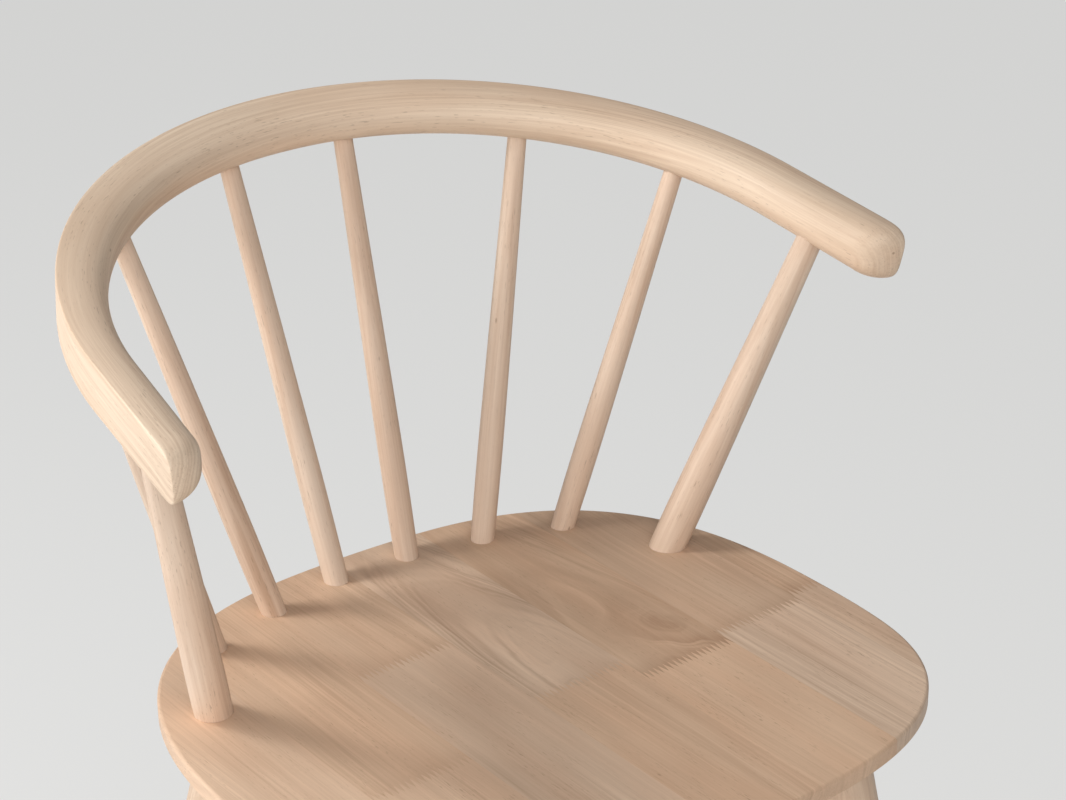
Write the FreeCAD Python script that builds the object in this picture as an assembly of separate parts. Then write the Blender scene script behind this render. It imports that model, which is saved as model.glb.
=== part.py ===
import FreeCAD
import Part
import math
import os

# Windsor armchair: a seat of glued boards, one arm bow cut from a flat blank, six thin spindles,
# two stout arm posts, four splayed legs, three stretchers and four glides.
# Millimetres. The front faces -Y, the left and right sides are -X and +X, +Z is up.
# While building, x = 0 is the mirror plane, y = 0 the seat's widest line, z = 0 the seat's top.

# Seat plan: a closed oval with its own length and roundness towards the back and the front
SEAT_HALF_WIDTH = 253.0
SEAT_BACK_LENGTH = 270.0
SEAT_FRONT_LENGTH = 189.0
SEAT_BACK_ROUNDNESS = 2.74
SEAT_FRONT_ROUNDNESS = 2.89
SEAT_POINTS_PER_QUARTER = 10

# Seat edge and height
SEAT_THICKNESS = 24.0
SEAT_EDGE_LAND = 12.0
SEAT_TOP_ROUND = 2.5
SEAT_BEVEL_REACH = 30.0
SEAT_TOP_HEIGHT = 445.0

# Seat boards: how many board widths make up the seat's width, how far the middle of the middle
# board lies to the right, how far the boards are turned, and the places of the finger joints
# behind the widest line, board by board from the left; a board with none is one length
BOARD_WIDTHS_ACROSS = 6.37
MIDDLE_BOARD_ASIDE = 25.0
BOARD_TURN = 1.2
FINGER_JOINTS = (None, -24.0, 107.0, 9.0, -14.0, -1.0, 10.0)
GLUE_GAP = 0.05
FINGER_LENGTH = 11.0
FINGER_PITCH = 4.4

# Arm bow: a level arc with two straight arms, tilted down to the front, D-shaped in section
BOW_RADIUS = 270.0
BOW_SWEEP = 84.4
BOW_ARM_LENGTH = 87.0
BOW_TILT = 9.8
BOW_BEHIND_SEAT = 75.0
BOW_MIDDLE_OVER_SEAT = 320.5
BOW_FACE_BACK = 31.0
BOW_FACE_ARM = 41.0
BOW_DEPTH_BACK = 42.0
BOW_DEPTH_ARM = 28.5
BOW_LEAN_BACK = 7.0
BOW_LEAN_ARM = -7.0
BOW_ROUNDNESS = 2.5
BOW_STATIONS_PER_SIDE = 11
BOW_SECTION_POINTS = 13

# Thin spindles, counted from the mirror plane outwards
SPINDLE_FIRST_FROM_MIDDLE = 31.7
SPINDLE_SPACING = 62.1
SPINDLE_INSETS = (28.0, 34.0, 32.0)
SPINDLE_BOW_PLACES = (50.0, 187.0, 313.5)
SPINDLE_FOOT_DIAMETER = 18.3
SPINDLE_SWELL_DIAMETER = 19.2
SPINDLE_SWELL_PLACE = 0.2
SPINDLE_TOP_DIAMETER = 14.4

# Arm posts
POST_FROM_SIDE = 53.0
POST_INSET = 71.0
POST_BOW_PLACE = 444.5
POST_FOOT_DIAMETER = 27.0
POST_SWELL_DIAMETER = 27.4
POST_SWELL_PLACE = 0.1
POST_TOP_DIAMETER = 19.4

# Sockets, and the play round every dry-fitted end
SEAT_SOCKET_DEPTH = 16.0
BOW_SOCKET_PAST_MIDDLE = 2.0
SOCKET_PLAY = 0.15
SOCKET_END_GAP = 0.3
SOCKET_MOUTH_SPARE = 30.0

# Legs: where their tops meet the seat's underside, and how far they run out per unit of drop
LEG_FROM_SIDE = 92.0
FRONT_LEG_FROM_FRONT = 88.0
REAR_LEG_FROM_BACK = 98.0
LEG_SIDE_SPLAY = 0.14
FRONT_LEG_SPLAY = 0.12
REAR_LEG_SPLAY = 0.24
LEG_TOP_DIAMETER = 36.0
LEG_SWELL_DIAMETER = 38.0
LEG_SWELL_PLACE = 0.22
LEG_FOOT_DIAMETER = 25.0
LEG_TENON_DIAMETER = 25.0
LEG_TENON_LENGTH = 16.0

# Stretchers: two from front leg to rear leg, one across between their middles
STRETCHER_HEIGHT = 175.0
STRETCHER_MIDDLE_DIAMETER = 23.0
STRETCHER_END_DIAMETER = 15.0
STRETCHER_END_FROM_AXIS = 2.0

# Glides under the feet
GLIDE_DIAMETER = 20.0
GLIDE_THICKNESS = 4.0
GLIDE_EDGE_ROUND = 1.0
GLIDE_PIN_DIAMETER = 5.0
GLIDE_PIN_LENGTH = 14.0

# How far the cutting blocks reach past the seat
BLOCK_SPARE = 60.0

UP = FreeCAD.Vector(0, 0, 1)
ORIGIN = FreeCAD.Vector(0, 0, 0)
FLOOR = -SEAT_TOP_HEIGHT
BOW_BACK = SEAT_BACK_LENGTH + BOW_BEHIND_SEAT
BOW_ARC_LENGTH = BOW_RADIUS * math.radians(BOW_SWEEP)
BOW_HALF_LENGTH = BOW_ARC_LENGTH + BOW_ARM_LENGTH


def signed_power(value, power):
    """The power of a number's size, with the number's own sign."""
    return math.copysign(abs(value) ** power, value)


# Seat

def seat_point(turn, inset, height):
    """A point of the seat's outline, a turn in radians from the right-hand side."""
    behind = math.sin(turn) >= 0
    length = SEAT_BACK_LENGTH if behind else SEAT_FRONT_LENGTH
    roundness = SEAT_BACK_ROUNDNESS if behind else SEAT_FRONT_ROUNDNESS
    x = (SEAT_HALF_WIDTH - inset) * signed_power(math.cos(turn), 2 / roundness)
    y = (length - inset) * signed_power(math.sin(turn), 2 / roundness)
    return FreeCAD.Vector(x, y, height)


def seat_wire(inset, height):
    """The seat's outline as one smooth closed curve, drawn in by an inset."""
    count = 4 * SEAT_POINTS_PER_QUARTER
    turns = [2 * math.pi * (step + 0.5) / count for step in range(count)]
    curve = Part.BSplineCurve()
    curve.interpolate([seat_point(turn, inset, height) for turn in turns], PeriodicFlag=True)
    return Part.Wire([curve.toShape()])


def seat_back_edge(x):
    """How far behind the widest line the seat's edge lies at a given x."""
    share = min(abs(x) / SEAT_HALF_WIDTH, 1.0)
    return SEAT_BACK_LENGTH * (1 - share ** SEAT_BACK_ROUNDNESS) ** (1 / SEAT_BACK_ROUNDNESS)


def seat_blank():
    """The whole seat before it is divided into boards and bored."""
    slab = Part.Face(seat_wire(0, -SEAT_EDGE_LAND)).extrude(UP * SEAT_EDGE_LAND)
    top_edges = [edge for edge in slab.Edges if edge.BoundBox.ZMin > -SEAT_EDGE_LAND / 2]
    slab = slab.makeFillet(SEAT_TOP_ROUND, top_edges)
    lower_wires = [seat_wire(SEAT_BEVEL_REACH, -SEAT_THICKNESS), seat_wire(0, -SEAT_EDGE_LAND)]
    bevel = Part.makeLoft(lower_wires, True, True)
    return slab.fuse(bevel).removeSplitter()


def glue_lines():
    """The lines between the boards, from the middle line of the seat, from left to right."""
    width = 2 * SEAT_HALF_WIDTH / BOARD_WIDTHS_ACROSS
    from_middle_board = (len(FINGER_JOINTS) - 2) / 2
    return [MIDDLE_BOARD_ASIDE + (line - from_middle_board) * width
            for line in range(len(FINGER_JOINTS) - 1)]


def board_block(left, right, front, back):
    """A plain block that reaches past the seat's top and underside."""
    block = Part.makeBox(right - left, back - front, SEAT_THICKNESS * 2)
    block.translate(FreeCAD.Vector(left, front, -SEAT_THICKNESS * 1.5))
    return block.rotate(ORIGIN, UP, BOARD_TURN)


def fingered_block(left, right, front, joint):
    """A block from the front to a row of pointed fingers that runs across the board."""
    count = max(1, round((right - left) / FINGER_PITCH))
    pitch = (right - left) / count
    points = [FreeCAD.Vector(left, front, 0), FreeCAD.Vector(left, joint, 0)]
    for finger in range(count):
        tip = left + (finger + 0.5) * pitch
        root = left + (finger + 1) * pitch
        points.append(FreeCAD.Vector(tip, joint + FINGER_LENGTH, 0))
        points.append(FreeCAD.Vector(root, joint, 0))
    points.append(FreeCAD.Vector(right, front, 0))
    points.append(points[0])
    block = Part.Face(Part.makePolygon(points)).extrude(UP * SEAT_THICKNESS * 2)
    block.translate(UP * SEAT_THICKNESS * -1.5)
    return block.rotate(ORIGIN, UP, BOARD_TURN)


def seat_boards(blank):
    """Named boards cut from the blank, some of them in a front and a rear length."""
    front = -SEAT_FRONT_LENGTH - BLOCK_SPARE
    back = SEAT_BACK_LENGTH + BLOCK_SPARE
    lines = glue_lines()
    lefts = [-SEAT_HALF_WIDTH - BLOCK_SPARE] + lines
    rights = lines + [SEAT_HALF_WIDTH + BLOCK_SPARE]
    boards = {}
    for number, joint in enumerate(FINGER_JOINTS, start=1):
        left = lefts[number - 1] + GLUE_GAP / 2
        right = rights[number - 1] - GLUE_GAP / 2
        whole = board_block(left, right, front, back)
        name = "seat_board_%d" % number
        if joint is None:
            boards[name] = blank.common(whole)
            continue
        fingers = fingered_block(left, right, front, joint)
        gapped_fingers = fingered_block(left, right, front, joint + GLUE_GAP)
        boards[name + "_front"] = blank.common(fingers)
        boards[name + "_rear"] = blank.common(whole.cut(gapped_fingers))
    return boards


# Arm bow

def tilted(point):
    """Lays a point of the bow's own level plan onto the tilted plane that it is built in."""
    angle = math.radians(BOW_TILT)
    behind = point.y - BOW_BACK
    y = BOW_BACK + behind * math.cos(angle) - point.z * math.sin(angle)
    z = BOW_MIDDLE_OVER_SEAT + behind * math.sin(angle) + point.z * math.cos(angle)
    return FreeCAD.Vector(point.x, y, z)


def bow_station(place):
    """Centre, onward and outward directions in the plan, at a signed distance from the middle."""
    side = -1 if place < 0 else 1
    turn = min(abs(place), BOW_ARC_LENGTH) / BOW_RADIUS
    straight = max(abs(place) - BOW_ARC_LENGTH, 0)
    x = BOW_RADIUS * math.sin(turn) + straight * math.cos(turn)
    y = BOW_BACK - BOW_RADIUS * (1 - math.cos(turn)) - straight * math.sin(turn)
    centre = FreeCAD.Vector(side * x, y, 0)
    onward = FreeCAD.Vector(side * math.cos(turn), -math.sin(turn), 0)
    outward = FreeCAD.Vector(side * math.sin(turn), math.cos(turn), 0)
    return centre, onward, outward


def bow_section(place):
    """The D section as a closed wire: a flat outer face and a dome towards the sitter."""
    centre, onward, outward = bow_station(place)
    share = abs(place) / BOW_HALF_LENGTH
    face = BOW_FACE_BACK + (BOW_FACE_ARM - BOW_FACE_BACK) * share
    depth = BOW_DEPTH_BACK + (BOW_DEPTH_ARM - BOW_DEPTH_BACK) * share
    lean = math.radians(BOW_LEAN_BACK + (BOW_LEAN_ARM - BOW_LEAN_BACK) * share)
    across = outward * math.cos(lean) + UP * math.sin(lean)
    over = UP * math.cos(lean) - outward * math.sin(lean)
    points = []
    for step in range(BOW_SECTION_POINTS):
        angle = math.pi * (step / (BOW_SECTION_POINTS - 1) - 0.5)
        reach = 0.5 - abs(math.cos(angle)) ** (2 / BOW_ROUNDNESS)
        rise = 0.5 * signed_power(math.sin(angle), 2 / BOW_ROUNDNESS)
        points.append(tilted(centre + across * (depth * reach) + over * (face * rise)))
    dome = Part.BSplineCurve()
    dome.interpolate(points)
    flat = Part.LineSegment(points[-1], points[0])
    return Part.Wire([dome.toShape(), flat.toShape()])


def bow_end(side):
    """The rounded end of one arm: its section swung a quarter turn about its flat side."""
    section = Part.Face(bow_section(side * BOW_HALF_LENGTH))
    flat = [edge for edge in section.Edges if isinstance(edge.Curve, Part.Line)][0]
    start = flat.Vertexes[0].Point
    axis = flat.Vertexes[1].Point - start
    centre, onward, outward = bow_station(side * BOW_HALF_LENGTH)
    ahead = tilted(centre + onward) - tilted(centre)
    quarter = 90 if axis.cross(section.CenterOfMass - start).dot(ahead) > 0 else -90
    return section.revolve(start, axis, quarter)


def arm_bow():
    """The whole bow, before its sockets are bored."""
    steps = range(-BOW_STATIONS_PER_SIDE, BOW_STATIONS_PER_SIDE + 1)
    places = [BOW_HALF_LENGTH * step / BOW_STATIONS_PER_SIDE for step in steps]
    body = Part.makeLoft([bow_section(place) for place in places], True, False)
    return body.fuse([bow_end(-1), bow_end(1)]).removeSplitter()


def bow_middle(place):
    """The middle of the bow's section at a signed distance along it."""
    return tilted(bow_station(place)[0])


# Turned pieces

def stood_along(shape, start, end):
    """Moves a shape built up from the origin along +Z so that it runs from start to end."""
    placed = shape.copy()
    placed.Placement = FreeCAD.Placement(start, FreeCAD.Rotation(UP, end - start))
    return placed


def rod(start, end, diameter):
    """A plain cylinder from start to end."""
    return stood_along(Part.makeCylinder(diameter / 2, (end - start).Length), start, end)


def unit(start, end):
    """The direction from start to end."""
    return (end - start).normalize()


def swelling(share, sizes):
    """Diameter at a share of the length, for a foot, a swell, the swell's place and a top."""
    foot, swell, place, top = sizes
    if share < place:
        return foot + (swell - foot) * math.sin(math.pi / 2 * share / place)
    past = (share - place) / (1 - place)
    return swell + (top - swell) * (1 - math.cos(math.pi / 2 * past)) ** 0.7


def turned(start, end, sizes, foot_length=0.0, top_length=0.0):
    """A turned piece with an even stretch at each end and a swelling curve between them."""
    length = (end - start).Length
    curved = length - foot_length - top_length
    shares = (0, 0.08, 0.2, 0.35, 0.5, 0.65, 0.8, 0.92, 1)
    points = []
    for share in shares:
        points.append(FreeCAD.Vector(swelling(share, sizes) / 2, 0, foot_length + share * curved))
    curve = Part.BSplineCurve()
    curve.interpolate(points)
    corners = [ORIGIN, FreeCAD.Vector(points[0].x, 0, 0), points[0]]
    top_corners = [points[-1], FreeCAD.Vector(points[-1].x, 0, length), UP * length, ORIGIN]
    edges = lines_through(corners) + [curve.toShape()] + lines_through(top_corners)
    solid = Part.Face(Part.Wire(edges)).revolve(ORIGIN, UP, 360)
    return stood_along(solid, start, end)


def lines_through(corners):
    """Straight edges from corner to corner, skipping stretches of no length."""
    pairs = zip(corners, corners[1:])
    return [Part.makeLine(one, other) for one, other in pairs if not one.isEqual(other, 1e-6)]


def socket(start, end, diameter):
    """The bore for a round end: wider by the play, deeper by the gap, open past its mouth."""
    along = unit(start, end)
    bottom = start - along * SOCKET_END_GAP
    mouth = end + along * SOCKET_MOUTH_SPARE
    return rod(bottom, mouth, diameter + 2 * SOCKET_PLAY)


# Spindles and arm posts

def back_sticks():
    """Name, foot on the seat, place along the bow and sizes of each spindle and arm post."""
    thin = (SPINDLE_FOOT_DIAMETER, SPINDLE_SWELL_DIAMETER, SPINDLE_SWELL_PLACE, SPINDLE_TOP_DIAMETER)
    stout = (POST_FOOT_DIAMETER, POST_SWELL_DIAMETER, POST_SWELL_PLACE, POST_TOP_DIAMETER)
    sticks = []
    for side, word in ((-1, "left"), (1, "right")):
        for number, (inset, place) in enumerate(zip(SPINDLE_INSETS, SPINDLE_BOW_PLACES)):
            x = SPINDLE_FIRST_FROM_MIDDLE + number * SPINDLE_SPACING
            foot = FreeCAD.Vector(side * x, seat_back_edge(x) - inset, 0)
            sticks.append(("spindle_%s_%d" % (word, number + 1), foot, side * place, thin))
        x = SEAT_HALF_WIDTH - POST_FROM_SIDE
        foot = FreeCAD.Vector(side * x, seat_back_edge(x) - POST_INSET, 0)
        sticks.append(("arm_post_%s" % word, foot, side * POST_BOW_PLACE, stout))
    return sticks


def back_stick(foot, place, sizes):
    """One spindle or post with its two sockets' bores: in the seat and in the bow."""
    along = unit(foot, bow_middle(place))
    bottom = foot - along * (SEAT_SOCKET_DEPTH / along.z)
    top = bow_middle(place) + along * BOW_SOCKET_PAST_MIDDLE
    foot_length = (foot - bottom).Length
    top_length = BOW_SOCKET_PAST_MIDDLE + BOW_FACE_ARM / 2
    stick = turned(bottom, top, sizes, foot_length, top_length)
    seat_bore = socket(bottom, foot, sizes[0])
    bow_bore = socket(top, top - along * top_length, sizes[3])
    return stick, seat_bore, bow_bore


# Legs, stretchers and glides

def leg_line(side, front):
    """The points where a leg's axis crosses the seat's underside and the floor."""
    x = side * (SEAT_HALF_WIDTH - LEG_FROM_SIDE)
    y = FRONT_LEG_FROM_FRONT - SEAT_FRONT_LENGTH if front else SEAT_BACK_LENGTH - REAR_LEG_FROM_BACK
    drop = SEAT_TOP_HEIGHT - SEAT_THICKNESS
    run = -FRONT_LEG_SPLAY if front else REAR_LEG_SPLAY
    top = FreeCAD.Vector(x, y, -SEAT_THICKNESS)
    foot = top + FreeCAD.Vector(side * LEG_SIDE_SPLAY * drop, run * drop, -drop)
    return top, foot


def leg_point(line, height):
    """The point of a leg's axis at a height above the floor."""
    top, foot = line
    share = height / (top.z - foot.z)
    return foot + (top - foot) * share


def leg(line):
    """A leg cut level under the seat and over its glide, its tenon, and the tenon's bore."""
    top, foot = line
    sizes = (LEG_TOP_DIAMETER, LEG_SWELL_DIAMETER, LEG_SWELL_PLACE, LEG_FOOT_DIAMETER)
    down = unit(top, foot)
    over = top - down * LEG_TOP_DIAMETER
    under = foot + down * LEG_FOOT_DIAMETER
    body = turned(over, under, sizes, LEG_TOP_DIAMETER, LEG_FOOT_DIAMETER)
    room = LEG_TOP_DIAMETER * 4
    slab = Part.makeBox(room, room, -SEAT_THICKNESS - FLOOR - GLIDE_THICKNESS)
    reach = (foot - top) * 0.5 + top
    corner = FreeCAD.Vector(reach.x - room / 2, reach.y - room / 2, FLOOR + GLIDE_THICKNESS)
    slab.translate(corner)
    body = body.common(slab)
    tenon_top = top - down * (LEG_TENON_LENGTH / -down.z)
    tenon = rod(tenon_top, top + down * LEG_TENON_DIAMETER, LEG_TENON_DIAMETER)
    bore = socket(tenon_top, top, LEG_TENON_DIAMETER)
    return body.fuse(tenon).removeSplitter(), bore


def stretcher(start_axis, end_axis):
    """A stretcher between two axis points, and the bores for its two ends."""
    sizes = (STRETCHER_END_DIAMETER, STRETCHER_MIDDLE_DIAMETER, 0.5, STRETCHER_END_DIAMETER)
    along = unit(start_axis, end_axis)
    start = start_axis + along * STRETCHER_END_FROM_AXIS
    end = end_axis - along * STRETCHER_END_FROM_AXIS
    even = LEG_SWELL_DIAMETER / 2
    piece = turned(start, end, sizes, even, even)
    start_bore = socket(start, start + along * even, STRETCHER_END_DIAMETER)
    end_bore = socket(end, end - along * even, STRETCHER_END_DIAMETER)
    return piece, start_bore, end_bore


def glide(foot):
    """A round glide with a pin up into the foot, and the pin's bore."""
    disc = Part.makeCylinder(GLIDE_DIAMETER / 2, GLIDE_THICKNESS, foot)
    low = [edge for edge in disc.Edges if edge.BoundBox.ZMax < foot.z + GLIDE_THICKNESS / 2]
    disc = disc.makeFillet(GLIDE_EDGE_ROUND, low)
    seat = foot + UP * GLIDE_THICKNESS
    pin_top = seat + UP * GLIDE_PIN_LENGTH
    pin = rod(foot + UP * (GLIDE_THICKNESS / 2), pin_top, GLIDE_PIN_DIAMETER)
    return disc.fuse(pin).removeSplitter(), socket(pin_top, seat, GLIDE_PIN_DIAMETER)


def undercarriage():
    """Legs, stretchers and glides by name, and the bores that the leg tenons need in the seat."""
    pieces = {}
    seat_bores = []
    middles = []
    for side, word in ((-1, "left"), (1, "right")):
        lines = {"front": leg_line(side, True), "rear": leg_line(side, False)}
        axes = [leg_point(lines[end], STRETCHER_HEIGHT) for end in ("front", "rear")]
        rail, front_bore, rear_bore = stretcher(axes[0], axes[1])
        middles.append((axes[0] + axes[1]) * 0.5)
        for end, rail_bore in (("front", front_bore), ("rear", rear_bore)):
            body, tenon_bore = leg(lines[end])
            pad, pin_bore = glide(lines[end][1])
            pieces["leg_%s_%s" % (end, word)] = body.cut([rail_bore, pin_bore])
            pieces["glide_%s_%s" % (end, word)] = pad
            seat_bores.append(tenon_bore)
        pieces["side_stretcher_%s" % word] = rail
    cross, left_bore, right_bore = stretcher(middles[0], middles[1])
    pieces["side_stretcher_left"] = pieces["side_stretcher_left"].cut(left_bore)
    pieces["side_stretcher_right"] = pieces["side_stretcher_right"].cut(right_bore)
    pieces["cross_stretcher"] = cross
    return pieces, seat_bores


# Whole chair

def chair():
    """Every piece by name, in the building frame."""
    pieces, seat_bores = undercarriage()
    bow_bores = []
    for name, foot, place, sizes in back_sticks():
        stick, seat_bore, bow_bore = back_stick(foot, place, sizes)
        pieces[name] = stick
        seat_bores.append(seat_bore)
        bow_bores.append(bow_bore)
    pieces["arm_bow"] = arm_bow().cut(bow_bores)
    for name, board in seat_boards(seat_blank()).items():
        near = [bore for bore in seat_bores if bore.common(board).Volume > 0]
        pieces[name] = board.cut(near) if near else board
    return pieces


def main():
    """Writes one file per piece, with the origin on the floor under the middle of the chair."""
    pieces = chair()
    box = Part.makeCompound(list(pieces.values())).optimalBoundingBox(False)
    shift = FreeCAD.Vector(-(box.XMin + box.XMax) / 2, -(box.YMin + box.YMax) / 2, -box.ZMin)
    os.makedirs("parts", exist_ok=True)
    for name, shape in sorted(pieces.items()):
        solids = shape.Solids
        shape = solids[0] if len(solids) == 1 else shape
        shape.translate(shift)
        shape.exportStep("parts/%s.step" % name)
        print(name, len(solids), shape.isValid(), round(shape.Volume / 1000, 2), "cm3")
    print("box", round(box.XLength, 2), round(box.YLength, 2), round(box.ZLength, 2))
    print("shift", round(shift.x, 3), round(shift.y, 3), round(shift.z, 3))


main()
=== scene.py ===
import math

import bpy
import numpy as np
from mathutils import Matrix, Vector


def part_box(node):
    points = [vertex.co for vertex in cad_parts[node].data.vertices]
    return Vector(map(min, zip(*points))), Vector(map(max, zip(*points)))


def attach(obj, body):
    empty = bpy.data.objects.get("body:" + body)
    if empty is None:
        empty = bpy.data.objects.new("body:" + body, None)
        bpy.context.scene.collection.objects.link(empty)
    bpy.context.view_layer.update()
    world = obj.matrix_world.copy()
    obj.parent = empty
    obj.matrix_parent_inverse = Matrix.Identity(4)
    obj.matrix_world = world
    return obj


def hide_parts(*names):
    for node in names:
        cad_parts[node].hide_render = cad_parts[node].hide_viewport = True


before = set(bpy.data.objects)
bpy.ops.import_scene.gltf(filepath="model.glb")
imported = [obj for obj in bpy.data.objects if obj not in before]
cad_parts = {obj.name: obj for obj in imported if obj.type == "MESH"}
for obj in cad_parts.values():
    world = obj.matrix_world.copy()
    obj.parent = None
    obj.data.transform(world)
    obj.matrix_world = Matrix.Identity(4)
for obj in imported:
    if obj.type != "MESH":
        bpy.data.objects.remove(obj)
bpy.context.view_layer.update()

# Windsor armchair of bare pale hardwood. Seat boards, spindles, posts, legs and stretchers keep
# their solids and get a figured wood each, and the glides a plain plastic. The arm bow is a
# smooth rounded shell of its own. Metres. The front faces -Y, +Z is up.

MM = 0.001

# Seat, as in the construction: used to place the bow and the boards' figure
SEAT_FRONT_LENGTH = 0.189
SEAT_BACK_LENGTH = 0.270
BOARD_TURN = math.radians(1.2)

# Arm bow: a flat arc with two straight arms, tilted down to the front, D-shaped in section. A
# roundness or squareness of 2 is a true ellipse, and more is squarer.
BOW_RADIUS = 0.270
BOW_SWEEP = math.radians(84.4)
BOW_ARM_LENGTH = 0.087
BOW_TILT = math.radians(9.8)
BOW_BEHIND_SEAT = 0.075
BOW_MIDDLE_OVER_SEAT = 0.3205
BOW_FACE_BACK = 0.031
BOW_FACE_ARM = 0.041
BOW_DEPTH_BACK = 0.042
BOW_DEPTH_ARM = 0.0285
BOW_LEAN = math.radians(7.0)
BOW_ROUNDNESS = 2.5
BOW_END_ROUNDNESS = 3.6
BOW_EDGE_ROUND = 0.0026
BOW_EDGE_SQUARENESS = 9.0

# How finely the bow is drawn: columns along each side, columns round each end, rows over the
# dome, rows over each half of the flat face, and how near two points are before they are joined
BOW_COLUMNS = 100
BOW_END_COLUMNS = 16
BOW_DOME_ROWS = 40
BOW_FACE_ROWS = 12
BOW_SEAM_DISTANCE = 0.02 * MM

# Camera, from the photograph's perspective. It stands off from the middle of the spindles' line,
# on the seat's top.
IMAGE_WIDTH = 1066
CAMERA_FOCAL_PIXELS = 2722.6
CAMERA_FROM_SEAT = Vector((-0.9686, -1.5296, 0.9784))
CAMERA_AZIMUTH = math.radians(-36.23)
CAMERA_ELEVATION = math.radians(24.95)
CAMERA_ROLL = math.radians(-0.56)
SPINDLES_BEHIND_WIDEST_LINE = 0.2419
SENSOR_WIDTH_MM = 36.0
CAMERA_CLIP_START = 0.05

# Light: the sky's level, how far the floor glows for the camera, and each lamp's name, the
# direction it stands in, its distance, size and power
SKY_LEVEL = 0.17
FLOOR_GLOW = 0.75
LAMPS = (
    ("key", (-0.76, 0.56, 0.97), 2.0, 0.42, 17),
    ("rear_side", (-1.0, 0.6, 0.3), 2.2, 1.0, 18),
    ("side", (-1.0, -0.3, 0.22), 2.2, 1.2, 9),
    ("front_side", (-0.6, -1.0, 0.35), 2.4, 1.4, 15),
    ("front_above", (-0.3, -1.0, 1.2), 2.6, 1.4, 16),
)

# What the lamps stand round and face, and the floor's colour and half its width
LAMP_AIM = Vector((-0.05, 0.0, 0.50))
FLOOR_COLOUR = (0.80, 0.80, 0.79, 1)
FLOOR_REACH = 8.0

# Wood: the colours of the bow, of the back's spindles and posts, of the legs and stretchers and of
# the seat, then its marks, its roughness, sheen and relief, and how far a knot reaches
BOW_PALE = (0.84, 0.67, 0.51, 1)
BOW_DEEP = (0.62, 0.44, 0.305, 1)
BACK_PALE = (0.83, 0.66, 0.52)
BACK_DEEP = (0.62, 0.45, 0.33)
LOWER_PALE = (0.78, 0.61, 0.465)
LOWER_DEEP = (0.58, 0.41, 0.29)
SEAT_PALE = (0.72, 0.53, 0.385)
SEAT_DEEP = (0.49, 0.33, 0.225)
PINK_TINT = (1.03, 0.965, 0.93, 1)
PORE_COLOUR = (0.30, 0.18, 0.11, 1)
SPECK_COLOUR = (0.26, 0.14, 0.08, 1)
WOOD_ROUGHNESS = 0.50
WOOD_SHEEN = 0.32
WOOD_RELIEF = 0.35
WOOD_RELIEF_HEIGHT = 0.12 * MM
KNOT_REACH_ALONG = 0.040
KNOT_REACH_ACROSS = 0.020

# How far the darker tone at a finger joint reaches into the rear length
JOINT_DARK_LENGTH = 0.030

# Glides
GLIDE_DARK = (0.50, 0.45, 0.39, 1)
GLIDE_PALE = (0.58, 0.53, 0.47, 1)
GLIDE_SPECKLES_PER_METRE = 900
GLIDE_ROUGHNESS = 0.42
GLIDE_RELIEF_HEIGHT = 0.05 * MM

SEAT_NODES = sorted(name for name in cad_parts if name.startswith("seat_board"))
BACK_NODES = sorted(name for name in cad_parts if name.startswith(("spindle", "arm_post")))
LOWER_NODES = sorted(
    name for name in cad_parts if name.startswith("leg") or "stretcher" in name)
GLIDE_NODES = sorted(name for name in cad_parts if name.startswith("glide"))

# Places taken from the frame
seat_low = Vector([min(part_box(node)[0][axis] for node in SEAT_NODES) for axis in range(3)])
seat_high = Vector([max(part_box(node)[1][axis] for node in SEAT_NODES) for axis in range(3)])
WIDEST_LINE = seat_low.y + SEAT_FRONT_LENGTH
SEAT_TOP = seat_high.z


# Small tools for node trees

class Field:
    """A value that nodes work out; arithmetic between fields adds the nodes for it."""

    def __init__(self, tree, socket):
        self.tree = tree
        self.socket = socket

    def __add__(self, other):
        return maths(self.tree, "ADD", self, other)

    def __radd__(self, other):
        return maths(self.tree, "ADD", other, self)

    def __sub__(self, other):
        return maths(self.tree, "SUBTRACT", self, other)

    def __rsub__(self, other):
        return maths(self.tree, "SUBTRACT", other, self)

    def __mul__(self, other):
        return maths(self.tree, "MULTIPLY", self, other)

    def __rmul__(self, other):
        return maths(self.tree, "MULTIPLY", other, self)

    def __truediv__(self, other):
        return maths(self.tree, "DIVIDE", self, other)

    def __rtruediv__(self, other):
        return maths(self.tree, "DIVIDE", other, self)


def plug(tree, socket, value):
    """Links a field into a socket, or sets the socket to a plain value."""
    if isinstance(value, Field):
        tree.links.new(value.socket, socket)
    else:
        socket.default_value = value


def maths(tree, operation, *values):
    """One Math node."""
    node = tree.nodes.new("ShaderNodeMath")
    node.operation = operation
    for socket, value in zip(node.inputs, values):
        plug(tree, socket, value)
    return Field(tree, node.outputs[0])


def vector(tree, x, y, z):
    """Three numbers joined to a vector."""
    node = tree.nodes.new("ShaderNodeCombineXYZ")
    for socket, value in zip(node.inputs, (x, y, z)):
        plug(tree, socket, value)
    return Field(tree, node.outputs[0])


def parts_of(tree, field):
    """The three numbers of a vector."""
    node = tree.nodes.new("ShaderNodeSeparateXYZ")
    plug(tree, node.inputs[0], field)
    return [Field(tree, socket) for socket in node.outputs]


def vector_maths(tree, operation, one, other):
    """One Vector Math node."""
    node = tree.nodes.new("ShaderNodeVectorMath")
    node.operation = operation
    plug(tree, node.inputs[0], one)
    plug(tree, node.inputs[1], other)
    return Field(tree, node.outputs[0])


def signed_power(tree, field, power):
    """The power of a number's size, with the number's own sign."""
    size = maths(tree, "POWER", maths(tree, "ABSOLUTE", field), power)
    return maths(tree, "SIGN", field) * size


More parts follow.
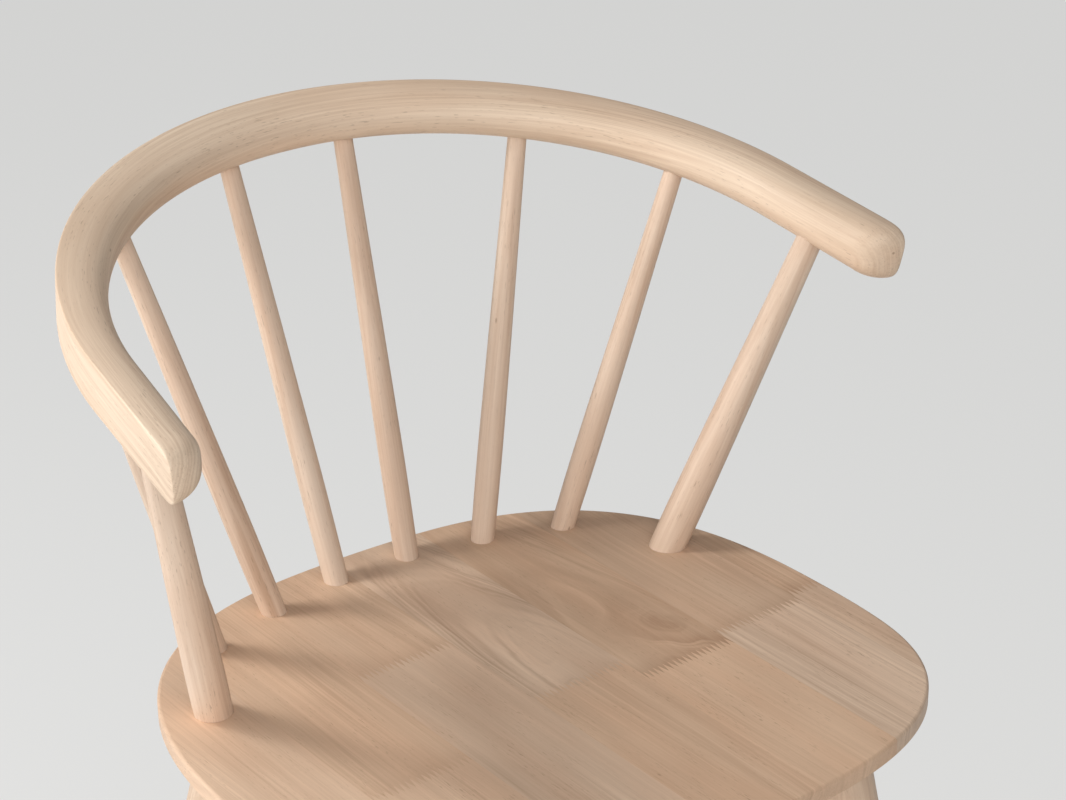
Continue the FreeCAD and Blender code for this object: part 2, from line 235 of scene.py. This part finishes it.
def soft_step(tree, field, low, high):
    """0 below low, 1 above high, and a smooth rise between them."""
    node = tree.nodes.new("ShaderNodeMapRange")
    node.interpolation_type = "SMOOTHSTEP"
    plug(tree, node.inputs["Value"], field)
    plug(tree, node.inputs["From Min"], low)
    plug(tree, node.inputs["From Max"], high)
    return Field(tree, node.outputs["Result"])


def noise(tree, place, detail=2.0, roughness=0.5):
    """Soft noise from 0 to 1 at a place already scaled to the size of its features."""
    node = tree.nodes.new("ShaderNodeTexNoise")
    plug(tree, node.inputs["Vector"], place)
    node.inputs["Scale"].default_value = 1.0
    node.inputs["Detail"].default_value = detail
    node.inputs["Roughness"].default_value = roughness
    return Field(tree, node.outputs[0])


def blend_colours(tree, share, one, other, kind="MIX"):
    """Two colours mixed by a share."""
    node = tree.nodes.new("ShaderNodeMix")
    node.data_type = "RGBA"
    node.blend_type = kind
    node.clamp_factor = False
    plug(tree, node.inputs[0], share)
    plug(tree, node.inputs[6], one)
    plug(tree, node.inputs[7], other)
    return Field(tree, node.outputs[2])


def add_inputs(tree, sockets):
    """Named inputs of a group, each with its kind and its default."""
    for name, kind, default in sockets:
        socket = tree.interface.new_socket(name, in_out="INPUT", socket_type=kind)
        if default is not None:
            socket.default_value = default


def group_inputs(tree):
    """The inputs of a group as fields, by name."""
    node = tree.nodes.new("NodeGroupInput")
    return {socket.name: Field(tree, socket) for socket in node.outputs if socket.name}


# Arm bow

BOW_INPUTS = (
    ("Radius", "NodeSocketFloat", BOW_RADIUS),
    ("Sweep", "NodeSocketFloat", BOW_SWEEP),
    ("Arm Length", "NodeSocketFloat", BOW_ARM_LENGTH),
    ("Tilt", "NodeSocketFloat", BOW_TILT),
    ("Back Place", "NodeSocketFloat", 0.0),
    ("Middle Height", "NodeSocketFloat", 0.0),
    ("Face at Back", "NodeSocketFloat", BOW_FACE_BACK),
    ("Face at Arm", "NodeSocketFloat", BOW_FACE_ARM),
    ("Depth at Back", "NodeSocketFloat", BOW_DEPTH_BACK),
    ("Depth at Arm", "NodeSocketFloat", BOW_DEPTH_ARM),
    ("Lean", "NodeSocketFloat", BOW_LEAN),
    ("Roundness", "NodeSocketFloat", BOW_ROUNDNESS),
    ("End Roundness", "NodeSocketFloat", BOW_END_ROUNDNESS),
    ("Edge Round", "NodeSocketFloat", BOW_EDGE_ROUND),
    ("Edge Squareness", "NodeSocketFloat", BOW_EDGE_SQUARENESS),
    ("Material", "NodeSocketMaterial", None),
)


def dome_profile(tree, given, round_share, end_share, deep, half_face):
    """The domed side of the section, turned outwards over the arm's end."""
    power = 2 / (given["Roundness"] + (given["End Roundness"] - given["Roundness"]) * end_share)
    around = round_share * math.pi
    turn = end_share * (math.pi / 2)
    reach = deep * maths(tree, "POWER", maths(tree, "COSINE", around), power)
    rise = half_face * signed_power(tree, maths(tree, "SINE", around), power)
    inward = reach * maths(tree, "COSINE", turn)
    onward = reach * maths(tree, "SINE", turn)
    return inward, onward, rise


def face_profile(tree, given, round_share, end_share, deep, half_face):
    """The flat side of the section with its rounded edges, closed over the arm's end."""
    power = 2 / given["End Roundness"]
    edge_power = 2 / given["Edge Squareness"]
    slope = maths(tree, "ABSOLUTE", round_share) * math.pi
    spread = maths(tree, "POWER", maths(tree, "SINE", slope), edge_power)
    swell = given["Edge Round"] * maths(tree, "POWER", maths(tree, "COSINE", slope), edge_power)
    around = (1 - end_share) * (math.pi / 2)
    onward = deep * spread * maths(tree, "POWER", maths(tree, "COSINE", around), power)
    rise = half_face * spread * maths(tree, "POWER", maths(tree, "SINE", around), power)
    return swell * -1, onward, rise * maths(tree, "SIGN", round_share)


def bow_patch(tree, given, rows, profile):
    """One side of the bow from end to end as a sheet, with its grain places."""
    columns = BOW_COLUMNS + BOW_END_COLUMNS
    grid = tree.nodes.new("GeometryNodeMeshGrid")
    grid.inputs["Size X"].default_value = 2.0
    grid.inputs["Size Y"].default_value = 1.0
    grid.inputs["Vertices X"].default_value = 2 * columns + 1
    grid.inputs["Vertices Y"].default_value = rows + 1
    place = Field(tree, tree.nodes.new("GeometryNodeInputPosition").outputs[0])
    along, round_share = parts_of(tree, place)[:2]

    side = maths(tree, "SIGN", along + 1e-5)
    column = maths(tree, "ABSOLUTE", along) * columns
    share = maths(tree, "MINIMUM", column / BOW_COLUMNS, 1.0)
    end_share = maths(tree, "MAXIMUM", column - BOW_COLUMNS, 0.0) / BOW_END_COLUMNS
    end_share = maths(tree, "MINIMUM", end_share, 1.0)

    face = given["Face at Back"] + (given["Face at Arm"] - given["Face at Back"]) * share
    depth = given["Depth at Back"] + (given["Depth at Arm"] - given["Depth at Back"]) * share
    lean = given["Lean"] * (1 - 2 * share)
    inward, onward, rise = profile(
        tree, given, round_share, end_share, depth - given["Edge Round"], face * 0.5)

    arc_length = given["Radius"] * given["Sweep"]
    half_length = arc_length + given["Arm Length"] + given["Edge Round"]
    distance = share * half_length
    bend = maths(tree, "MINIMUM", distance, arc_length) / given["Radius"]
    straight = maths(tree, "MAXIMUM", distance - arc_length, 0.0) + onward
    sine = maths(tree, "SINE", bend)
    cosine = maths(tree, "COSINE", bend)

    outward = depth * 0.5 - given["Edge Round"] - inward
    out_level = outward * maths(tree, "COSINE", lean) - rise * maths(tree, "SINE", lean)
    over_level = outward * maths(tree, "SINE", lean) + rise * maths(tree, "COSINE", lean)
    x = side * (given["Radius"] * sine + straight * cosine + out_level * sine)
    behind = out_level * cosine - given["Radius"] * (1 - cosine) - straight * sine
    level = maths(tree, "COSINE", given["Tilt"])
    drop = maths(tree, "SINE", given["Tilt"])
    y = given["Back Place"] + behind * level - over_level * drop
    z = given["Middle Height"] + behind * drop + over_level * level

    store = tree.nodes.new("GeometryNodeStoreNamedAttribute")
    store.data_type = "FLOAT_VECTOR"
    store.domain = "POINT"
    store.inputs["Name"].default_value = "grain"
    tree.links.new(grid.outputs["Mesh"], store.inputs["Geometry"])
    plug(tree, store.inputs["Value"], vector(tree, side * (distance + onward), outward, rise))
    move = tree.nodes.new("GeometryNodeSetPosition")
    tree.links.new(store.outputs[0], move.inputs["Geometry"])
    plug(tree, move.inputs["Position"], vector(tree, x, y, z))
    return move.outputs[0]


def bow_tree():
    """The bow's rule as a geometry tree: two sheets that share their edges, joined to a shell."""
    tree = bpy.data.node_groups.new("Arm Bow", "GeometryNodeTree")
    add_inputs(tree, BOW_INPUTS)
    tree.interface.new_socket("Geometry", in_out="OUTPUT", socket_type="NodeSocketGeometry")
    given = group_inputs(tree)
    dome = bow_patch(tree, given, BOW_DOME_ROWS, dome_profile)
    flat = tree.nodes.new("GeometryNodeFlipFaces")
    tree.links.new(bow_patch(tree, given, 2 * BOW_FACE_ROWS, face_profile), flat.inputs[0])
    join = tree.nodes.new("GeometryNodeJoinGeometry")
    tree.links.new(dome, join.inputs[0])
    tree.links.new(flat.outputs[0], join.inputs[0])
    merge = tree.nodes.new("GeometryNodeMergeByDistance")
    merge.inputs["Distance"].default_value = BOW_SEAM_DISTANCE
    tree.links.new(join.outputs[0], merge.inputs[0])
    smooth = tree.nodes.new("GeometryNodeSetShadeSmooth")
    tree.links.new(merge.outputs[0], smooth.inputs[0])
    realize = tree.nodes.new("GeometryNodeRealizeInstances")
    tree.links.new(smooth.outputs[0], realize.inputs[0])
    paint = tree.nodes.new("GeometryNodeSetMaterial")
    tree.links.new(realize.outputs[0], paint.inputs["Geometry"])
    plug(tree, paint.inputs["Material"], given["Material"])
    out = tree.nodes.new("NodeGroupOutput")
    tree.links.new(paint.outputs[0], out.inputs[0])
    return tree


def set_input(modifier, name, value):
    """Sets a geometry modifier's input by the name of its socket."""
    for item in modifier.node_group.interface.items_tree:
        if item.item_type == "SOCKET" and item.in_out == "INPUT" and item.name == name:
            modifier[item.identifier] = value
            return
    raise KeyError(name)


def made_plain(maker, name):
    """The evaluated shape of an object as a new plain mesh object at the origin."""
    bpy.context.view_layer.update()
    evaluated = maker.evaluated_get(bpy.context.evaluated_depsgraph_get())
    mesh = bpy.data.meshes.new_from_object(evaluated)
    mesh.name = name
    bpy.data.objects.remove(maker)
    piece = bpy.data.objects.new(name, mesh)
    bpy.context.scene.collection.objects.link(piece)
    return piece


def arm_bow(material):
    """The bow's shell from its tree."""
    maker = bpy.data.objects.new("bow_maker", bpy.data.meshes.new("bow_maker"))
    bpy.context.scene.collection.objects.link(maker)
    nodes = maker.modifiers.new("bow", "NODES")
    nodes.node_group = bow_tree()
    set_input(nodes, "Back Place", WIDEST_LINE + SEAT_BACK_LENGTH + BOW_BEHIND_SEAT)
    set_input(nodes, "Middle Height", SEAT_TOP + BOW_MIDDLE_OVER_SEAT)
    set_input(nodes, "Material", material)
    return made_plain(maker, "arm_bow_shell")


# Wood

def wood_group():
    """Growth rings, fine lines, streaks, pores and specks of a pale hardwood, grain along X."""
    tree = bpy.data.node_groups.new("Pale Hardwood", "ShaderNodeTree")
    add_inputs(tree, (
        ("Place", "NodeSocketVector", None),
        ("Seed", "NodeSocketFloat", 0.0),
        ("Heart Across", "NodeSocketFloat", 0.0),
        ("Heart Through", "NodeSocketFloat", -0.08),
        ("Heart Slant", "NodeSocketFloat", 0.0),
        ("Ring Width", "NodeSocketFloat", 0.003),
        ("Waver", "NodeSocketFloat", 0.003),
        ("Ring Strength", "NodeSocketFloat", 0.5),
        ("Streak Strength", "NodeSocketFloat", 0.5),
        ("Knot Along", "NodeSocketFloat", 0.0),
        ("Knot Across", "NodeSocketFloat", 0.0),
        ("Knot Size", "NodeSocketFloat", 0.0),
        ("Darker", "NodeSocketFloat", 0.0),
        ("Pale", "NodeSocketColor", (0.8, 0.64, 0.5, 1)),
        ("Deep", "NodeSocketColor", (0.6, 0.43, 0.31, 1)),
    ))
    for name, kind in (("Color", "NodeSocketColor"), ("Roughness", "NodeSocketFloat"),
                       ("Height", "NodeSocketFloat")):
        tree.interface.new_socket(name, in_out="OUTPUT", socket_type=kind)
    given = group_inputs(tree)
    along, across, through = parts_of(tree, given["Place"])
    shift = vector(tree, given["Seed"] * 1.7, given["Seed"] * 0.9, given["Seed"] * 1.3)
    place = vector_maths(tree, "ADD", given["Place"], shift)

    def at(x, y, z):
        """The place scaled for a noise: marks per metre along, across and through the grain."""
        return vector_maths(tree, "MULTIPLY", place, (x, y, z))

    def swing(field, size):
        """A noise moved to swing about 0, stretched to a size."""
        return (field - 0.5) * size

    # A knot bends the rings round itself
    from_knot_along = (along - given["Knot Along"]) / KNOT_REACH_ALONG
    knot_waver = swing(noise(tree, at(20, 20, 20)), 0.03)
    from_knot_across = (across - given["Knot Across"] + knot_waver) / KNOT_REACH_ACROSS
    nearness = maths(tree, "EXPONENT", (from_knot_along * from_knot_along
                                        + from_knot_across * from_knot_across) * -1)
    knot = nearness * given["Knot Size"]

    # Rings round a heart line that lies outside the piece
    waver = given["Waver"]
    heart = given["Heart Slant"] * along
    ring_y = across - given["Heart Across"] - heart + swing(noise(tree, at(5, 26, 26)), waver * 2.4)
    ring_z = through - given["Heart Through"] - heart + swing(noise(tree, at(9, 70, 70)), waver)
    radius = maths(tree, "SQRT", ring_y * ring_y + ring_z * ring_z) + knot
    uneven = swing(noise(tree, vector(tree, radius * 90, given["Seed"], 0.0), 1.0), 2.6)
    count = radius / given["Ring Width"] + uneven
    ring_mark = noise(tree, vector(tree, count * 0.9, given["Seed"], along * 3), 1.0)
    line_mark = noise(tree, vector(tree, count * 3.1, given["Seed"] + 5, along * 9), 1.0)
    patchy = soft_step(tree, noise(tree, at(3.5, 22, 22), 1.0), 0.34, 0.66) * 0.9 + 0.25
    rings = swing(ring_mark, 2.4) * patchy * given["Ring Strength"]
    lines = swing(line_mark, 2.2) * patchy * given["Ring Strength"]

    # Broad clouds of tone, long streaks, fine fibres, short open pores and a few specks
    cloud = swing(noise(tree, at(7, 16, 16)), 0.9)
    streak = swing(noise(tree, at(3.0, 150, 150), 3.0, 0.6), 1.3) * given["Streak Strength"]
    thin_streak = swing(noise(tree, at(9, 680, 680), 2.0), 1.5) * given["Streak Strength"]
    fibre = noise(tree, at(40, 2300, 2300), 2.0)
    pore_place = noise(tree, at(120, 1150, 1150), 1.0)
    pore_field = soft_step(tree, noise(tree, at(9, 60, 60), 1.0), 0.40, 0.62)
    pore = soft_step(tree, pore_place, 0.64, 0.74) * (0.25 + pore_field * 0.75)
    speck = tree.nodes.new("ShaderNodeTexVoronoi")
    plug(tree, speck.inputs["Vector"], at(16, 38, 38))
    speck.inputs["Scale"].default_value = 1.0
    speck_seen = soft_step(tree, parts_of(tree, Field(tree, speck.outputs["Color"]))[0], 0.60, 0.62)
    speck_near = 1 - soft_step(tree, Field(tree, speck.outputs["Distance"]), 0.018, 0.05)
    speck_mark = speck_near * speck_seen

    depth = 0.36 + rings + lines + cloud + streak + thin_streak + swing(fibre, 0.30)
    depth = depth + nearness * given["Knot Size"] * 12 + given["Darker"]
    share = maths(tree, "MINIMUM", maths(tree, "MAXIMUM", depth, -0.2), 1.4)
    colour = blend_colours(tree, share, given["Pale"], given["Deep"])
    warmth = soft_step(tree, noise(tree, at(6, 30, 30), 1.0), 0.35, 0.7)
    colour = blend_colours(tree, warmth * 0.5, colour, PINK_TINT, "MULTIPLY")
    colour = blend_colours(tree, pore * 0.42, colour, PORE_COLOUR)
    colour = blend_colours(tree, speck_mark * 0.5, colour, SPECK_COLOUR)
    rough = WOOD_ROUGHNESS + swing(fibre, 0.14) - rings * 0.04 + pore * 0.15
    height = fibre * 0.30 - pore * 0.9 - lines * 0.1

    out = tree.nodes.new("NodeGroupOutput")
    plug(tree, out.inputs["Color"], colour)
    plug(tree, out.inputs["Roughness"], rough)
    plug(tree, out.inputs["Height"], height)
    return tree


WOOD = wood_group()


def group_node(tree, group, **values):
    """A group in a material, with values for its inputs; underscores stand for spaces."""
    node = tree.nodes.new("ShaderNodeGroup")
    node.node_tree = group
    for name, value in values.items():
        plug(tree, node.inputs[name.replace("_", " ")], value)
    return node


def finish_surface(material, wood):
    """Joins a wood group to the material's own shader."""
    tree = material.node_tree
    shader = tree.nodes["Principled BSDF"]
    shader.inputs["Specular IOR Level"].default_value = WOOD_SHEEN
    bump = tree.nodes.new("ShaderNodeBump")
    bump.inputs["Strength"].default_value = WOOD_RELIEF
    bump.inputs["Distance"].default_value = WOOD_RELIEF_HEIGHT
    tree.links.new(wood.outputs["Color"], shader.inputs["Base Color"])
    tree.links.new(wood.outputs["Roughness"], shader.inputs["Roughness"])
    tree.links.new(wood.outputs["Height"], bump.inputs["Height"])
    tree.links.new(bump.outputs["Normal"], shader.inputs["Normal"])


def new_material(name):
    """An empty node material."""
    material = bpy.data.materials.new(name)
    material.use_nodes = True
    return material


def object_place(tree):
    """The place on the object, in the chair's own frame."""
    return Field(tree, tree.nodes.new("ShaderNodeTexCoord").outputs["Object"])


def paint(node, material):
    """Gives a carried-over solid its finish."""
    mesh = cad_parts[node].data
    mesh.materials.clear()
    mesh.materials.append(material)


def board_wood(name, look):
    """One seat board: grain from front to back, its own tone, rings and knot, darker at a joint."""
    material = new_material(name)
    tree = material.node_tree
    mapping = tree.nodes.new("ShaderNodeMapping")
    mapping.vector_type = "TEXTURE"
    mapping.inputs["Location"].default_value = (0, WIDEST_LINE, SEAT_TOP)
    mapping.inputs["Rotation"].default_value = (0, 0, BOARD_TURN)
    plug(tree, mapping.inputs["Vector"], object_place(tree))
    across, along, through = parts_of(tree, Field(tree, mapping.outputs[0]))
    values = dict(look)
    joint = values.pop("joint")
    darkening = values.pop("darkening")
    if darkening:
        near_joint = 1 - soft_step(tree, along, joint, joint + JOINT_DARK_LENGTH)
        values["Darker"] = near_joint * darkening
    wood = group_node(tree, WOOD, Place=vector(tree, along, across, through), **values)
    finish_surface(material, wood)
    return material


def stick_direction(node):
    """The long axis of a turned piece, from its points, towards its upper or right end."""
    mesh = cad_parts[node].data
    points = np.empty(len(mesh.vertices) * 3)
    mesh.vertices.foreach_get("co", points)
    points = points.reshape(-1, 3)
    centre = points.mean(axis=0)
    spread = np.cov((points - centre).T)
    axis = Vector(np.linalg.eigh(spread)[1][:, -1])
    if axis.z + 0.1 * axis.x + 0.01 * axis.y < 0:
        axis = -axis
    return Vector(centre), axis


def stick_wood(name, node, **figure):
    """A turned piece's wood: grain along its own axis."""
    material = new_material(name)
    tree = material.node_tree
    centre, axis = stick_direction(node)
    turn = axis.rotation_difference(Vector((1, 0, 0)))
    mapping = tree.nodes.new("ShaderNodeMapping")
    mapping.vector_type = "POINT"
    mapping.inputs["Rotation"].default_value = turn.to_euler()
    mapping.inputs["Location"].default_value = -(turn @ centre)
    plug(tree, mapping.inputs["Vector"], object_place(tree))
    wood = group_node(tree, WOOD, Place=Field(tree, mapping.outputs[0]), **figure)
    finish_surface(material, wood)
    return material


def bow_wood():
    """The bow's wood: its grain follows the curve, read from the piece's own grain places."""
    material = new_material("bow_wood")
    tree = material.node_tree
    grain = tree.nodes.new("ShaderNodeAttribute")
    grain.attribute_name = "grain"
    wood = group_node(
        tree, WOOD, Place=Field(tree, grain.outputs["Vector"]), Seed=3.0, Heart_Across=-0.13,
        Heart_Through=-0.05, Heart_Slant=0.015, Ring_Width=0.003, Waver=0.003, Ring_Strength=0.5,
        Streak_Strength=0.36, Pale=BOW_PALE, Deep=BOW_DEEP)
    finish_surface(material, wood)
    return material


def glide_plastic():
    """Pale moulded plastic for the glides."""
    material = new_material("glide_plastic")
    tree = material.node_tree
    shader = tree.nodes["Principled BSDF"]
    place = object_place(tree)
    speckle = noise(tree, vector_maths(tree, "MULTIPLY", place, (GLIDE_SPECKLES_PER_METRE,) * 3))
    colour = blend_colours(tree, speckle, GLIDE_DARK, GLIDE_PALE)
    plug(tree, shader.inputs["Base Color"], colour)
    plug(tree, shader.inputs["Roughness"], GLIDE_ROUGHNESS + speckle * 0.15)
    bump = tree.nodes.new("ShaderNodeBump")
    bump.inputs["Distance"].default_value = GLIDE_RELIEF_HEIGHT
    plug(tree, bump.inputs["Height"], speckle)
    tree.links.new(bump.outputs["Normal"], shader.inputs["Normal"])
    return material


def toned(colour, warmth, light):
    """A colour made lighter or darker, and warmer or cooler, by shares."""
    red, green, blue = colour
    return (red * light * (1 + warmth), green * light, blue * light * (1 - warmth), 1)


# Looks of the seat boards: lightness and warmth as shares, how far aside of the middle line the
# rings have their heart, its slant, and the rings' width and strength

BOARD_LOOKS = {
    "seat_board_1": dict(light=1.06, warmth=0.02, heart=-0.36, slant=0.00, width=0.0034, rings=0.30),
    "seat_board_2_front": dict(light=1.02, warmth=0.03, heart=-0.30, slant=0.01, width=0.0034, rings=0.3),
    "seat_board_2_rear": dict(light=0.98, warmth=0.05, heart=-0.28, slant=0.01, width=0.0034, rings=0.3),
    "seat_board_3_front": dict(light=1.02, warmth=0.0, heart=-0.20, slant=0.02, width=0.0036, rings=0.35),
    "seat_board_3_rear": dict(light=0.97, warmth=0.04, heart=-0.16, slant=-0.02, width=0.0036, rings=0.3),
    "seat_board_4_front": dict(light=0.97, warmth=0.05, heart=0.13, slant=0.0, width=0.004, rings=0.3),
    "seat_board_4_rear": dict(light=1.0, warmth=0.0, heart=0.042, slant=-0.10, width=0.0044, rings=0.75),
    "seat_board_5_front": dict(light=1.03, warmth=0.05, heart=0.26, slant=0.0, width=0.0036, rings=0.3),
    "seat_board_5_rear": dict(light=0.93, warmth=0.05, heart=0.10, slant=-0.07, width=0.005, rings=0.45),
    "seat_board_6_front": dict(light=1.10, warmth=-0.02, heart=0.34, slant=0.0, width=0.0042, rings=0.5),
    "seat_board_6_rear": dict(light=0.96, warmth=0.03, heart=0.33, slant=0.0, width=0.004, rings=0.45),
    "seat_board_7_front": dict(light=1.04, warmth=0.0, heart=0.37, slant=0.01, width=0.005, rings=0.6),
    "seat_board_7_rear": dict(light=0.95, warmth=0.05, heart=0.38, slant=0.0, width=0.004, rings=0.5),
}

# Knots: how far behind the seat's widest line, how far aside, and how large
KNOTS = {
    "seat_board_5_rear": (0.040, 0.112, 0.016),
    "seat_board_4_rear": (0.024, 0.040, 0.008),
}

# By board number: how far its finger joint is behind the widest line, and how much darker the
# rear length is there
FINGER_JOINTS = {2: -0.024, 3: 0.107, 4: 0.009, 5: -0.014, 6: -0.001, 7: 0.010}
DARKENING = {2: 0.2, 3: 0.25, 4: 0.15, 5: 0.6, 6: 0.35, 7: 0.55}


def board_look(node):
    """The figure and the finger joint of one seat board."""
    given = BOARD_LOOKS[node]
    number = int(node.split("_")[2])
    knot_along, knot_across, knot_size = KNOTS.get(node, (0.0, 0.0, 0.0))
    return dict(
        Seed=1.0 + SEAT_NODES.index(node) * 0.7, Heart_Across=given["heart"], Heart_Through=-0.05,
        Heart_Slant=given["slant"], Ring_Width=given["width"], Waver=0.004,
        Ring_Strength=given["rings"], Streak_Strength=0.30,
        Knot_Along=knot_along, Knot_Across=knot_across, Knot_Size=knot_size,
        Pale=toned(SEAT_PALE, given["warmth"], given["light"]),
        Deep=toned(SEAT_DEEP, given["warmth"], given["light"]),
        joint=FINGER_JOINTS.get(number),
        darkening=DARKENING[number] if node.endswith("rear") else 0)


def dress_chair():
    """Finishes every solid and sets the bow's shell in place of its solid."""
    for node in SEAT_NODES:
        paint(node, board_wood(node + "_wood", board_look(node)))
    for number, node in enumerate(BACK_NODES):
        paint(node, stick_wood(
            node + "_wood", node, Seed=20.0 + number * 1.9, Heart_Across=0.035, Heart_Through=-0.03,
            Heart_Slant=0.012 * (-1) ** number, Ring_Width=0.003, Waver=0.002, Ring_Strength=0.5,
            Streak_Strength=0.60, Pale=toned(BACK_PALE, 0.0, 1.0 - 0.03 * (number % 3)),
            Deep=toned(BACK_DEEP, 0.02, 1.0)))
    for number, node in enumerate(LOWER_NODES):
        paint(node, stick_wood(
            node + "_wood", node, Seed=50.0 + number * 2.3, Heart_Across=0.05, Heart_Through=-0.045,
            Heart_Slant=0.010 * (-1) ** number, Ring_Width=0.0034, Waver=0.003, Ring_Strength=0.5,
            Streak_Strength=0.5, Pale=toned(LOWER_PALE, 0.01, 1.0),
            Deep=toned(LOWER_DEEP, 0.02, 1.0)))
    plastic = glide_plastic()
    for node in GLIDE_NODES:
        paint(node, plastic)
    bow = arm_bow(bow_wood())
    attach(bow, "root")
    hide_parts("arm_bow")


# Studio

def floor_paint():
    """Pale matt paint; the camera and mirrored views see it part glowing, so it stays pale."""
    material = new_material("pale_floor")
    tree = material.node_tree
    shader = tree.nodes["Principled BSDF"]
    shader.inputs["Base Color"].default_value = FLOOR_COLOUR
    shader.inputs["Roughness"].default_value = 0.9
    shader.inputs["Specular IOR Level"].default_value = 0.1
    glow = tree.nodes.new("ShaderNodeEmission")
    glow.inputs["Color"].default_value = FLOOR_COLOUR
    rays = tree.nodes.new("ShaderNodeLightPath")
    seen = Field(tree, rays.outputs["Is Camera Ray"])
    seen = maths(tree, "MAXIMUM", seen, Field(tree, rays.outputs["Is Glossy Ray"]))
    seen = maths(tree, "MAXIMUM", seen, Field(tree, rays.outputs["Is Transmission Ray"]))
    mix = tree.nodes.new("ShaderNodeMixShader")
    plug(tree, mix.inputs[0], seen * FLOOR_GLOW)
    tree.links.new(shader.outputs[0], mix.inputs[1])
    tree.links.new(glow.outputs[0], mix.inputs[2])
    tree.links.new(mix.outputs[0], tree.nodes["Material Output"].inputs["Surface"])
    return material


def plain_floor():
    """A wide pale floor."""
    mesh = bpy.data.meshes.new("floor")
    reach = FLOOR_REACH
    corners = [(-reach, -reach, 0), (reach, -reach, 0), (reach, reach, 0), (-reach, reach, 0)]
    mesh.from_pydata(corners, [], [(0, 1, 2, 3)])
    floor = bpy.data.objects.new("floor", mesh)
    bpy.context.scene.collection.objects.link(floor)
    mesh.materials.append(floor_paint())


def soft_lamp(name, direction, distance, size, watts):
    """A square soft lamp that stands off from the aim in a direction and faces it."""
    lamp = bpy.data.lights.new(name, "AREA")
    lamp.shape = "SQUARE"
    lamp.size = size
    lamp.energy = watts
    holder = bpy.data.objects.new(name, lamp)
    place = LAMP_AIM + Vector(direction).normalized() * distance
    holder.location = place
    holder.rotation_euler = (LAMP_AIM - place).to_track_quat("-Z", "Y").to_euler()
    bpy.context.scene.collection.objects.link(holder)


def studio():
    """Floor, sky and lamps: a soft key from the left behind, and wide lamps left and in front."""
    plain_floor()
    world = bpy.data.worlds.new("studio")
    bpy.context.scene.world = world
    world.use_nodes = True
    sky = world.node_tree.nodes["Background"]
    sky.inputs["Color"].default_value = (1.0, 1.0, 1.0, 1)
    sky.inputs["Strength"].default_value = SKY_LEVEL
    for name, direction, distance, size, watts in LAMPS:
        soft_lamp(name, direction, distance, size, watts)


def camera():
    """The photograph's view."""
    lens = CAMERA_FOCAL_PIXELS / IMAGE_WIDTH * SENSOR_WIDTH_MM
    data = bpy.data.cameras.new("camera")
    data.sensor_fit = "HORIZONTAL"
    data.sensor_width = SENSOR_WIDTH_MM
    data.lens = lens
    data.clip_start = CAMERA_CLIP_START
    holder = bpy.data.objects.new("camera", data)
    back = Vector((math.sin(CAMERA_AZIMUTH) * math.cos(CAMERA_ELEVATION),
                   -math.cos(CAMERA_AZIMUTH) * math.cos(CAMERA_ELEVATION), math.sin(CAMERA_ELEVATION)))
    right = Vector((math.cos(CAMERA_AZIMUTH), math.sin(CAMERA_AZIMUTH), 0))
    up = back.cross(right)
    turned_right = right * math.cos(CAMERA_ROLL) + up * math.sin(CAMERA_ROLL)
    turned_up = up * math.cos(CAMERA_ROLL) - right * math.sin(CAMERA_ROLL)
    holder.matrix_world = Matrix((
        (turned_right.x, turned_up.x, back.x, 0),
        (turned_right.y, turned_up.y, back.y, 0),
        (turned_right.z, turned_up.z, back.z, 0),
        (0, 0, 0, 1)))
    spindle_line = Vector((0, WIDEST_LINE + SPINDLES_BEHIND_WIDEST_LINE, SEAT_TOP))
    holder.location = spindle_line + CAMERA_FROM_SEAT
    bpy.context.scene.collection.objects.link(holder)
    bpy.context.scene.camera = holder


dress_chair()
studio()
camera()
bpy.context.scene.view_settings.view_transform = "Standard"
